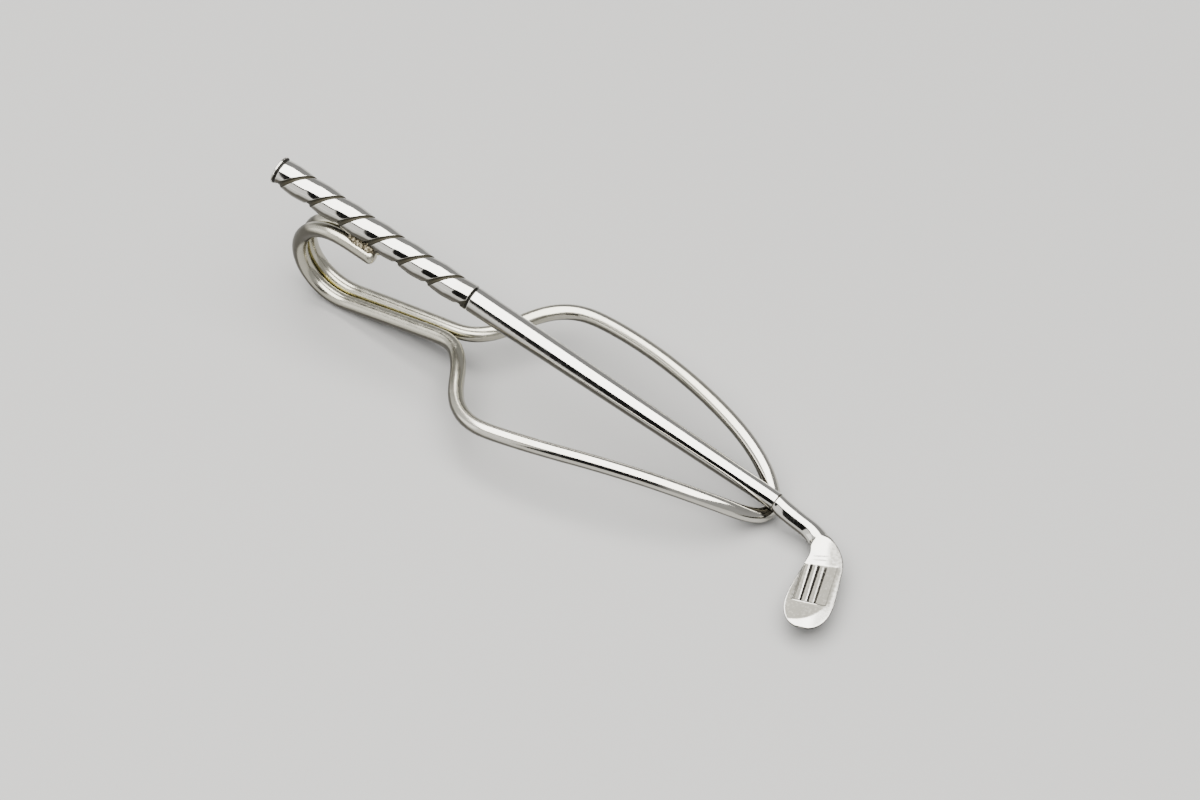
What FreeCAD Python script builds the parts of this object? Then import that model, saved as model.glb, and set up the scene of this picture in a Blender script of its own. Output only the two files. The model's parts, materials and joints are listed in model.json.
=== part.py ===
import FreeCAD, Part
import math
import os

# Golf-club tie clip in silver.
# The club is a grooved grip sleeve and a butt cap on a tapered shaft, with a small iron head.
# One springy wire, bent double, is soldered under the grip, turns back round a U-bend at the heel
# and runs forward as a paddle-shaped loop, whose tip lies close under the front of the shaft.
# Club frame: X from the butt along the shaft, Y to the far side, Z up, origin at the butt's centre.
# Table frame: the clip as it lies, on the U-bend's heel and on the back of the head.
# Lengths are in millimetres, angles in degrees.

Vector = FreeCAD.Vector

# Butt cap and grip
cap_length = 0.45
cap_round = 0.12
cap_spigot_length = 1.2
grip_length = 18.85
grip_radius = 1.2
groove_pitch = 2.91
groove_width = 0.75
groove_depth = 0.2
groove_edge_drop = 0.04
groove_start_angle = 296
ring_groove_width = 0.13
ring_groove_depth = 0.14

# Shaft, with a tang inside the grip and a tenon inside the hosel
shaft_length = 29.7
shaft_rear_radius = 1.08
shaft_front_radius = 0.8
tang_radius = 0.7
tenon_radius = 0.45
tenon_length = 2.0
fit_clearance = 0.03

# Spring wire: legs, U-bend and lower arms
wire_diameter = 1.29
wire_gap = 0.08
pair_offset = 0.37
leg_length = 3.1
solder_film = 0.08
bend_radius = 3.85
bend_reach = 7.6
arm_corner_reach = 16.5
arm_corner_drop = 6.2

# Paddle loop: from the neck, where the wires part, to the tip under the shaft
neck_reach = 21.1
neck_drop = 4.84
tip_half_width = 1.14
tip_clearance = 0.13
loop_half_width = 7.63
loop_crest = 0.34
loop_station_shares = (0.087, 0.326, 0.607, 0.859)
loop_width_shares = (1.0, 0.946, 0.704, 0.43)
loop_rise_shares = (0.145, 0.558, 0.944, 1.0)
loop_skew_share = 0.07

# Solder saddle between the legs and the grip
solder_length = 2.9

# Head: hosel, elbow and blade
hosel_length = 5.4
elbow_height = 1.16
hosel_turn = 4.4
blade_turn = 2.6
neck_length = 1.4
neck_end_radius = 0.4
lie_angle = 72.7
blade_length = 9.7
blade_half_width = 1.92
blade_thickness = 0.75
face_height = 1.9
rim_round = 0.22
blade_station_shares = (0.05, 0.10, 0.2, 0.3, 0.45, 0.65, 0.81, 0.93,
                        1.0, 0.94, 0.84, 0.72, 0.58, 0.44, 0.3, 0.18)
blade_side_shares = (-0.2, 0.24, 0.66, 0.86, 0.94, 1.0, 0.97, 0.7,
                     0.0, -0.72, -0.95, -1.01, -0.98, -0.92, -0.78, -0.66)
back_root_share = 0.86
back_pad_share = 0.55
back_centre_share = 0.56

# Score panel on the blade's face
panel_start = 3.3
panel_length = 3.8
panel_half_width = 1.4
panel_depth = 0.05
score_count = 4
score_pitch = 0.57
score_width = 0.16
score_depth = 0.12
score_offset = 0.43

# How far a cut runs past what it cuts
overrun = 0.5

# Derived places in the club frame
wire_radius = wire_diameter / 2
half_pair = (wire_diameter + wire_gap) / 2
grip_end = cap_length + grip_length
shaft_end = grip_end + shaft_length
elbow_reach = shaft_end + hosel_length
loop_length = shaft_end - neck_reach
far_leg_y = half_pair - pair_offset
near_leg_y = -half_pair - pair_offset
leg_drop = math.sqrt((grip_radius + solder_film + wire_radius) ** 2 - far_leg_y ** 2)
bend_drop = leg_drop + bend_radius
bore_radius = tang_radius + fit_clearance

# The lower arm is the tangent from the U-bend's circle up to the arm's corner
corner_run = arm_corner_reach - bend_reach
corner_rise = bend_drop - arm_corner_drop
arm_slope = math.degrees(math.atan2(corner_rise, corner_run)
                         + math.asin(bend_radius / math.hypot(corner_run, corner_rise)))
bend_sweep = 180 + arm_slope

# Rest tilt: the heel's lowest wire and the back of the head touch the table together
heel_radius = bend_radius + wire_radius
rest_span = math.hypot(elbow_reach - bend_reach, bend_drop)
rest_tilt = math.degrees(math.asin((heel_radius - elbow_height) / rest_span)
                         + math.atan2(bend_drop, elbow_reach - bend_reach))
butt_height = elbow_height + elbow_reach * math.sin(math.radians(rest_tilt))
X_AXIS = Vector(1, 0, 0)
Y_AXIS = Vector(0, 1, 0)
Z_AXIS = Vector(0, 0, 1)
LAY = FreeCAD.Placement(Vector(0, 0, butt_height), FreeCAD.Rotation(Y_AXIS, rest_tilt))


def turned(outline):
    """A solid turned about the club's axis from (x, radius) points."""
    points = [Vector(x, 0, radius) for x, radius in outline]
    face = Part.Face(Part.makePolygon(points + points[:1]))
    return face.revolve(Vector(0, 0, 0), X_AXIS, 360)


def rod(x, y, z, length, radius):
    """A round rod along the club's axis from its rear centre."""
    return Part.makeCylinder(radius, length, Vector(x, y, z), X_AXIS)


def butt_cap():
    """Disc with a rounded rim, a ring groove behind it and a spigot in the grip's bore."""
    groove_start = cap_length - ring_groove_width
    spigot_end = cap_length + cap_spigot_length
    disc = rod(0, 0, 0, groove_start, grip_radius)
    rim = [edge for edge in disc.Edges if edge.BoundBox.XMax < groove_start / 2]
    disc = disc.makeFillet(cap_round, rim)
    neck = rod(0, 0, 0, cap_length, grip_radius - ring_groove_depth)
    spigot = rod(0, 0, 0, spigot_end, tang_radius)
    return disc.fuse([neck, spigot]).removeSplitter()


def grip_sleeve():
    """Sleeve whose cross-section, a crowned land and one groove, twists to the left along it."""
    edge_angle = math.pi * groove_width / groove_pitch
    edge_radius = grip_radius - groove_edge_drop
    edge_y = edge_radius * math.sin(edge_angle)
    edge_z = edge_radius * math.cos(edge_angle)
    left = Vector(cap_length, -edge_y, edge_z)
    right = Vector(cap_length, edge_y, edge_z)
    bottom = Vector(cap_length, 0, grip_radius - groove_depth)
    crown = Vector(cap_length, 0, -grip_radius)
    land = Part.Arc(right, crown, left).toShape()
    groove = Part.Arc(left, bottom, right).toShape()
    spine = Part.makePolygon([Vector(cap_length, 0, 0), Vector(grip_end, 0, 0)])
    helix = Part.makeHelix(groove_pitch, grip_length, grip_radius, 0, True)
    helix.Placement = FreeCAD.Placement(Vector(cap_length, 0, 0), FreeCAD.Rotation(Y_AXIS, 90))
    sweep = Part.BRepOffsetAPI.MakePipeShell(spine)
    sweep.setAuxiliarySpine(helix, True, 0)
    sweep.add(Part.Wire([land, groove]))
    sweep.build()
    sweep.makeSolid()
    bore = rod(cap_length - overrun, 0, 0, grip_length + 2 * overrun, bore_radius)
    sleeve = Part.Solid(sweep.shape()).cut(bore)
    sleeve.rotate(Vector(0, 0, 0), X_AXIS, groove_start_angle - 90)
    return sleeve


def shaft():
    """Tapered rod with a ring groove at the grip, a tang behind it and a tenon in front."""
    tang_start = cap_length + cap_spigot_length
    groove_end = grip_end + ring_groove_width
    tenon_end = shaft_end + tenon_length
    ring_radius = shaft_rear_radius - ring_groove_depth
    return turned([
        (tang_start, 0), (tang_start, tang_radius), (grip_end, tang_radius),
        (grip_end, ring_radius), (groove_end, ring_radius),
        (groove_end, shaft_rear_radius), (shaft_end, shaft_front_radius),
        (shaft_end, tenon_radius), (tenon_end, tenon_radius), (tenon_end, 0),
    ])


def wire_leg(side_y):
    """Straight end of the wire, from the U-bend's top to its flat cut end."""
    return rod(bend_reach, side_y, -leg_drop, leg_length, wire_radius)


def spring_bend(side_y):
    """U-bend of one wire, from the leg back round the heel to the lower arm."""
    top = Vector(bend_reach, side_y, -leg_drop)
    centre = Vector(bend_reach, side_y, -bend_drop)
    section = Part.Face(Part.Wire(Part.Circle(top, X_AXIS, wire_radius).toShape()))
    return section.revolve(centre, -Y_AXIS, bend_sweep)


def tangent_arc(start, corner, end):
    """The arc from start to end that is tangent to both equal runs through the corner."""
    middle = (start + end) / 2
    half_chord = (end - start).Length / 2
    run = (corner - start).Length
    rise_share = half_chord / (run + half_chord)
    return Part.Arc(start, middle + (corner - middle) * rise_share, end).toShape()


def corner_arcs(start, corner, end):
    """Two tangent arcs that round a corner between a point on each of its runs."""
    start_way = (corner - start).normalize()
    end_way = (end - corner).normalize()
    chord = end - start
    ways = start_way + end_way
    spare = 4 - ways.dot(ways)
    reach = (math.sqrt(chord.dot(ways) ** 2 + spare * chord.dot(chord)) - chord.dot(ways)) / spare
    first = start + start_way * reach
    second = end - end_way * reach
    joint = (first + second) / 2
    return [tangent_arc(start, first, joint), tangent_arc(joint, second, end)]


def loop_corners(side):
    """Corner points of one side of the loop, from the lower arm to the tip; side is -1 near, 1 far."""
    slope = math.radians(arm_slope)
    arm_y = side * half_pair - pair_offset
    arm_start = Vector(bend_reach + bend_radius * math.sin(slope), arm_y,
                       -bend_drop - bend_radius * math.cos(slope))
    corners = [
        arm_start,
        Vector(arm_corner_reach, arm_y, -arm_corner_drop),
        Vector(neck_reach, arm_y, -neck_drop),
    ]
    for station, width, rise in zip(loop_station_shares, loop_width_shares, loop_rise_shares):
        sideways = side * loop_half_width * width
        corners.append(Vector(neck_reach + loop_length * station + loop_skew_share * sideways,
                              sideways - pair_offset,
                              (neck_drop + loop_crest) * rise - neck_drop))
    sideways = side * tip_half_width
    tip_drop = shaft_front_radius + tip_clearance + wire_radius
    corners.append(Vector(shaft_end + loop_skew_share * sideways, sideways - pair_offset, -tip_drop))
    return corners


def spring_loop():
    """Both lower arms and the paddle loop: one wire swept along tangent arcs."""
    corners = loop_corners(-1) + loop_corners(1)[::-1]
    joints = [(before + after) / 2 for before, after in zip(corners, corners[1:])]
    joints[0] = corners[0]
    joints[-1] = corners[-1]
    arcs = []
    for start, corner, end in zip(joints, corners[1:-1], joints[1:]):
        arcs += corner_arcs(start, corner, end)
    path = Part.Wire(arcs)
    slope = math.radians(arm_slope)
    section = Part.Circle(corners[0], Vector(math.cos(slope), 0, math.sin(slope)), wire_radius).toShape()
    loop = path.makePipeShell([Part.Wire(section)], True, False)
    section_area = math.pi * wire_radius ** 2
    print("loop wire length", round(path.Length, 3), "volume over section times length",
          round(loop.Volume / (section_area * path.Length), 5))
    return loop


def leg_solder():
    """Solder saddle that fills the corner between the grip and the two legs."""
    start = bend_reach + (leg_length - solder_length) / 2
    near_edge = near_leg_y - wire_radius / 2
    far_edge = far_leg_y + wire_radius
    low = wire_radius / 2 - leg_drop
    high = -grip_radius / 2
    block = Part.makeBox(solder_length, far_edge - near_edge, high - low, Vector(start, near_edge, low))
    cut_start = start - overrun
    cut_length = solder_length + 2 * overrun
    cuts = [rod(cut_start, 0, 0, cut_length, grip_radius + fit_clearance)]
    for side_y in (near_leg_y, far_leg_y):
        cuts.append(rod(cut_start, side_y, -leg_drop, cut_length, wire_radius + fit_clearance))
    return block.cut(cuts)


def blade_outline(share, height):
    """Closed outline of the blade at one height, drawn in towards the back pad's centre by a share."""
    centre = blade_length * back_centre_share
    points = []
    for station, side in zip(blade_station_shares, blade_side_shares):
        along = centre + (blade_length * station - centre) * share
        points.append(Vector(along, blade_half_width * side * share, height))
    curve = Part.BSplineCurve()
    curve.interpolate(points, True)
    return Part.Wire(curve.toShape())


def score_cuts():
    """The shallow panel and its score lines, as cutting blocks above the face."""
    cuts = [Part.makeBox(panel_length, 2 * panel_half_width, panel_depth + overrun,
                         Vector(panel_start, -panel_half_width, face_height - panel_depth))]
    for index in range(score_count):
        line_y = (index - (score_count - 1) / 2) * score_pitch - score_offset
        cuts.append(Part.makeBox(panel_length, score_width, score_depth + overrun,
                                 Vector(panel_start, line_y - score_width / 2, face_height - score_depth)))
    return cuts


def blade():
    """Blade in its own frame: X from the elbow to the toe, Y to the sole, Z up from the table."""
    plate_base = face_height - blade_thickness
    plate = Part.Face(blade_outline(1, plate_base)).extrude(Z_AXIS * blade_thickness)
    rim = [edge for edge in plate.Edges if edge.BoundBox.ZMin > face_height - blade_thickness / 2]
    plate = plate.makeFillet(rim_round, rim)
    root = blade_outline(back_root_share, plate_base)
    pad = blade_outline(back_pad_share, 0)
    back = Part.makeLoft([root, pad], True, True)
    return plate.fuse(back).cut(score_cuts())


def club_head():
    """Hosel with a socket, elbow and blade, in the table frame."""
    lie = math.radians(lie_angle)
    hosel_way = LAY.Rotation.multVec(X_AXIS)
    blade_way = Vector(math.cos(lie), -math.sin(lie), 0)
    mouth = LAY.multVec(Vector(shaft_end, 0, 0))
    elbow = LAY.multVec(Vector(elbow_reach, 0, 0))
    turn_start = elbow - hosel_way * hosel_turn
    turn_end = elbow + blade_way * blade_turn
    turn = corner_arcs(turn_start, elbow, turn_end)
    path = Part.Wire([Part.makeLine(mouth, turn_start)] + turn)
    section = Part.Wire(Part.Circle(mouth, hosel_way, shaft_front_radius).toShape())
    hosel = path.makePipeShell([section], True, False)
    neck = Part.makeCone(shaft_front_radius, neck_end_radius, neck_length, turn_end, blade_way)
    flat = blade()
    flat.Placement = FreeCAD.Placement(Vector(elbow.x, elbow.y, 0), FreeCAD.Rotation(Z_AXIS, -lie_angle))
    socket = Part.makeCylinder(tenon_radius + fit_clearance, tenon_length + fit_clearance, mouth, hosel_way)
    return hosel.fuse([neck, flat]).cut(socket).removeSplitter()


def laid(shape):
    """A shape of the club frame in the table frame."""
    return shape.transformed(LAY.toMatrix(), True)


def build():
    """All pieces in the table frame, by node name."""
    return {
        "butt_cap": laid(butt_cap()),
        "grip_sleeve": laid(grip_sleeve()),
        "shaft": laid(shaft()),
        "club_head": club_head(),
        "near_wire_leg": laid(wire_leg(near_leg_y)),
        "far_wire_leg": laid(wire_leg(far_leg_y)),
        "near_spring_bend": laid(spring_bend(near_leg_y)),
        "far_spring_bend": laid(spring_bend(far_leg_y)),
        "spring_loop": laid(spring_loop()),
        "leg_solder": laid(leg_solder()),
    }


def main():
    """Build the pieces, stand the clip on the middle of its box's floor and write one file each."""
    os.makedirs("parts", exist_ok=True)
    pieces = build()
    box = Part.makeCompound(list(pieces.values())).optimalBoundingBox(False, False)
    shift = Vector(-box.Center.x, -box.Center.y, -box.ZMin)
    for name, shape in pieces.items():
        placed = shape.copy()
        placed.translate(shift)
        placed.exportStep("parts/" + name + ".step")
        print(name, len(placed.Solids), "valid", placed.isValid(), "volume", round(placed.Volume, 3))
    print("box", box.XLength, box.YLength, box.ZLength)
    print("rest tilt", rest_tilt, "arm slope", arm_slope, "shift", shift)
    print("hinge", LAY.multVec(Vector(bend_reach, -pair_offset, -bend_drop)) + shift)


main()
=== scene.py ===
"""Dress the golf-club tie clip: silver surfaces worked out with numpy, node finishes and a small studio.

Shapes are worked out in millimetres in the club frame: X from the butt along the shaft, Y to the far side,
Z up, origin at the butt's centre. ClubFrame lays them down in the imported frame, in metres.
"""
import json
import logging
import math
from dataclasses import dataclass, field
from enum import Enum
from functools import cached_property

import bpy
import numpy as np
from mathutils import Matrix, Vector

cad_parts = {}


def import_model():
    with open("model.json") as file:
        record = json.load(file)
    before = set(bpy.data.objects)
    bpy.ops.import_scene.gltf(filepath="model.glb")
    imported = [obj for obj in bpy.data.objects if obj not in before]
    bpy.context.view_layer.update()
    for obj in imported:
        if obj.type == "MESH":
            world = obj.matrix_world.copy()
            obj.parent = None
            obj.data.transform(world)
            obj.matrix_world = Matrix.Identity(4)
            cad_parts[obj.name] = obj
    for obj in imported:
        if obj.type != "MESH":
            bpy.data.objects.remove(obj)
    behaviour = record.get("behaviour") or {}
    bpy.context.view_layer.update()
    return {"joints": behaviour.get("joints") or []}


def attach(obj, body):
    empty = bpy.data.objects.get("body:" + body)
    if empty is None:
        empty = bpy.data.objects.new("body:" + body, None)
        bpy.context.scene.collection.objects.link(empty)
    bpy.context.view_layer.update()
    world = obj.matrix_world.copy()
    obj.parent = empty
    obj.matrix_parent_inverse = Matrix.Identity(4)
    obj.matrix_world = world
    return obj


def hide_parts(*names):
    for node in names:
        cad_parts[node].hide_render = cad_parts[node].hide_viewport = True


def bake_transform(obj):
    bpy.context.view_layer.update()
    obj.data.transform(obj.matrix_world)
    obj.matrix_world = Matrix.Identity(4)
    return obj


log = logging.getLogger("tie_clip")

MM = 0.001
TAU = 2 * math.pi
CIRCLE_POWER = 2.0

Colour = tuple[float, float, float, float]
Way = tuple[float, float, float]
Range = tuple[float, float]
Row = tuple[float, ...]


class Body(Enum):
    """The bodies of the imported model."""

    SPRING = "spring"
    CLUB = "club"


class Slot(Enum):
    """The record's material slots."""

    POLISHED = "polished_silver"
    GRIP = "grip_silver"
    HEAD = "head_silver"
    WIRE = "wire_silver"
    SOLDER = "solder_silver"


class Mark(Enum):
    """Values that a mesh carries for its finish."""

    ALONG = "along"
    OXIDE = "oxide"
    # UNDER: faces turned away from their unshaded way, for painted shade.
    UNDER = "under"
    SATIN = "satin"
    SCORE = "score"
    # PAIRED: sides where the two wires face each other, for tarnish and a painted reflection.
    PAIRED = "paired"


class Side(Enum):
    """The two halves of the bent wire."""

    NEAR = -1
    FAR = 1


def smoothstep(low: float, high: float, x: np.ndarray) -> np.ndarray:
    """0 up to low, 1 from high on and a smooth cubic between; low may be the larger one.

    Args:
        low: Where the step starts.
        high: Where it ends.
        x: Values to step.

    Returns:
        The stepped values, from 0 to 1.
    """
    t = np.clip((x - low) / (high - low), 0, 1)
    return t * t * (3 - 2 * t)


def between(first: np.ndarray | float, last: np.ndarray | float, share: np.ndarray) -> np.ndarray:
    """Values that pass from the first to the last in step with a share."""
    return first + (last - first) * share


def parabola(first: np.ndarray, corner: np.ndarray, last: np.ndarray, t: np.ndarray) -> np.ndarray:
    """Points of the parabola that leaves the first point and reaches the last along the corner's sides."""
    return first * (1 - t) ** 2 + 2 * corner * t * (1 - t) + last * t ** 2


def unit(vectors: np.ndarray) -> np.ndarray:
    """Vectors over their own lengths."""
    return vectors / np.linalg.norm(vectors, axis=-1, keepdims=True)


def round_angles(columns: int) -> np.ndarray:
    """Evenly spaced angles of one full turn."""
    return np.linspace(0, TAU, columns, endpoint=False)


def lengths_along(path: np.ndarray) -> np.ndarray:
    """Length of a path from its first point to each of its points."""
    return np.r_[0, np.cumsum(np.linalg.norm(np.diff(path, axis=0), axis=1))]


def read_at(places: np.ndarray, along: np.ndarray, rows: np.ndarray) -> np.ndarray:
    """Rows that stand at lengths along a path, read at other places, straight between them."""
    return np.stack([np.interp(places, along, column) for column in rows.T], axis=-1)


def quarter_round(distance: np.ndarray, reach: float) -> np.ndarray:
    """How far a rounded edge lies inside its corner: a quarter circle near the edge and 0 beyond.

    Args:
        distance: Distance from the edge.
        reach: Radius of the rounding.

    Returns:
        The drop at each distance.
    """
    share = np.clip(distance / reach, 0, 1)
    return reach * (1 - np.sqrt(1 - (1 - share) ** 2))


def cubic_through(x: np.ndarray, knots: Row, values: Row) -> np.ndarray:
    """A smooth curve through a few given points: Hermite cubics on the knots' central slopes.

    Args:
        x: Where to read the curve; held at the ends.
        knots: Rising places of the points.
        values: The curve's value at each knot.

    Returns:
        The curve's values at x.
    """
    at = np.array(knots)
    value = np.array(values)
    slope = np.gradient(value, at)
    x = np.clip(x, at[0], at[-1])
    k = np.clip(np.searchsorted(at, x, side="right") - 1, 0, len(at) - 2)
    span = at[k + 1] - at[k]
    t = (x - at[k]) / span
    rise = value[k + 1] - value[k]
    bow = (slope[k] * span - rise) * (1 - t) + (rise - slope[k + 1] * span) * t
    return value[k] + rise * t + t * (1 - t) * bow


def ripples(points: np.ndarray, wavelength: float, seed: int, waves: int = 24) -> np.ndarray:
    """Smooth unevenness over space: a scaled sum of plane waves with seeded directions and phases.

    Args:
        points: Places, in the wavelength's unit.
        wavelength: Mean length of the waves.
        seed: Seed of the draws.
        waves: How many waves are summed.

    Returns:
        One value per point, about -1 to 1.
    """
    draw = np.random.default_rng(seed)
    ways = unit(draw.normal(size=(waves, 3)))
    stretch = draw.uniform(0.7, 1.4, size=waves)
    phase = draw.uniform(0, TAU, size=waves)
    turns = points @ (ways * stretch[:, None]).T * (TAU / wavelength) + phase
    return np.sin(turns).sum(axis=-1) * math.sqrt(2 / waves) / 2


def eased_outline(corners: np.ndarray, eases: np.ndarray, steps: int = 7,
                  support: float = 1.25) -> np.ndarray:
    """An outline whose corners are rounded by parabolas, with a support point just outside each.

    Args:
        corners: Corner points, one row each; the first and last stay as they are.
        eases: How far from each inner corner its rounding starts.
        steps: Points per rounded corner.
        support: Where the support points stand, in eases.

    Returns:
        The outline's points.
    """
    inner = corners[1:-1, None, :]
    back = unit(corners[:-2] - corners[1:-1])[:, None, :] * eases[:, None, None]
    ahead = unit(corners[2:] - corners[1:-1])[:, None, :] * eases[:, None, None]
    t = np.linspace(0, 1, steps)[None, :, None]
    rounded = inner + back * (1 - t) ** 2 + ahead * t ** 2
    rounds = np.concatenate([inner + back * support, rounded, inner + ahead * support], axis=1)
    return np.concatenate([corners[:1], rounds.reshape(-1, 2), corners[-1:]])


def turned(x: np.ndarray, radius: np.ndarray, angle: np.ndarray) -> np.ndarray:
    """Points of the club frame at a radius and angle about its axis, from the far side upwards."""
    return np.stack([x + 0 * angle, radius * np.cos(angle), radius * np.sin(angle)], axis=-1)


def round_rings(path: np.ndarray, upright: np.ndarray, radius: np.ndarray, columns: int) -> np.ndarray:
    """Circles carried along a path, square to it.

    Args:
        path: Centre points.
        upright: A direction at each point that the path never runs along.
        radius: Radius of each circle.
        columns: Points per circle.

    Returns:
        A grid of points, one circle a row.
    """
    way = unit(np.gradient(path, axis=0))
    up = unit(upright - (upright * way).sum(axis=-1, keepdims=True) * way)
    side = np.cross(way, up)
    angle = round_angles(columns)[None, :, None]
    spokes = np.cos(angle) * up[:, None] + np.sin(angle) * side[:, None]
    return path[:, None] + radius[:, None, None] * spokes


def linked(name: str, data: bpy.types.ID) -> bpy.types.Object:
    """A new object in the scene.

    Args:
        name: The object's name.
        data: Its mesh, light or camera.

    Returns:
        The object, at the origin.
    """
    thing = bpy.data.objects.new(name, data)
    bpy.context.scene.collection.objects.link(thing)
    return thing


@dataclass(frozen=True)
class ClipSizes:
    """Sizes that the sub-assemblies share, in millimetres."""

    cap_length: float = 0.45
    cap_spigot_length: float = 1.2
    grip_length: float = 18.85
    grip_radius: float = 1.2
    ring_groove_width: float = 0.2
    ring_groove_depth: float = 0.14
    shaft_length: float = 29.7
    shaft_rear_radius: float = 1.08
    shaft_front_radius: float = 0.76
    tang_radius: float = 0.7
    tenon_radius: float = 0.45
    tenon_length: float = 2.0
    fit_clearance: float = 0.03
    wire_diameter: float = 1.29
    wire_gap: float = 0.08
    pair_offset: float = 0.37
    leg_length: float = 3.1
    solder_film: float = 0.08
    bend_radius: float = 3.85
    bend_reach: float = 7.6
    hosel_length: float = 5.4
    elbow_height: float = 1.16
    lie_angle: float = 72.7

    @property
    def grip_end(self) -> float:
        """Where the grip ends and the bare shaft starts."""
        return self.cap_length + self.grip_length

    @property
    def shaft_end(self) -> float:
        """Where the shaft meets the hosel."""
        return self.grip_end + self.shaft_length

    @property
    def elbow_reach(self) -> float:
        """Where the hosel's axis meets the blade's."""
        return self.shaft_end + self.hosel_length

    @property
    def wire_radius(self) -> float:
        """Radius of the spring wire."""
        return self.wire_diameter / 2

    @property
    def half_pair(self) -> float:
        """Half the distance between the two wires' centres where they lie side by side."""
        return (self.wire_diameter + self.wire_gap) / 2

    @property
    def leg_drop(self) -> float:
        """How far the wire's legs lie under the club's axis."""
        far_leg = self.half_pair - self.pair_offset
        return math.sqrt((self.grip_radius + self.solder_film + self.wire_radius) ** 2 - far_leg ** 2)

    @property
    def bend_drop(self) -> float:
        """How far the U-bend's centre lies under the club's axis."""
        return self.leg_drop + self.bend_radius

    @property
    def rest_tilt(self) -> float:
        """Angle at which the heel and the back of the head rest on the floor together.

        Returns:
            The angle in radians.
        """
        run = self.elbow_reach - self.bend_reach
        heel_over_elbow = self.bend_radius + self.wire_radius - self.elbow_height
        heel_angle = math.asin(heel_over_elbow / math.hypot(run, self.bend_drop))
        return heel_angle + math.atan2(self.bend_drop, run)


@dataclass(frozen=True)
class ClubFrame:
    """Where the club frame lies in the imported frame."""

    tilt: float
    origin: np.ndarray

    @classmethod
    def from_hinge(cls, sizes: ClipSizes, hinge: list[float]) -> "ClubFrame":
        """The frame that puts the U-bend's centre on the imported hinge.

        Args:
            sizes: The clip's sizes.
            hinge: The hinge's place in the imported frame, in metres.

        Returns:
            The club's frame.
        """
        flat = cls(sizes.rest_tilt, np.zeros(3))
        centre = np.array([sizes.bend_reach, -sizes.pair_offset, -sizes.bend_drop])
        return cls(sizes.rest_tilt, np.array(hinge) - flat.place(centre))

    def turn(self, vectors: np.ndarray) -> np.ndarray:
        """Directions of the club frame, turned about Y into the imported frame.

        Args:
            vectors: Directions or points of the club frame.

        Returns:
            The same, turned by the tilt.
        """
        x, y, z = np.moveaxis(vectors, -1, 0)
        cos, sin = math.cos(self.tilt), math.sin(self.tilt)
        return np.stack([x * cos + z * sin, y, z * cos - x * sin], axis=-1)

    def place(self, points: np.ndarray) -> np.ndarray:
        """Points of the club frame in millimetres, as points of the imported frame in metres."""
        return self.turn(points) * MM + self.origin


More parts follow.
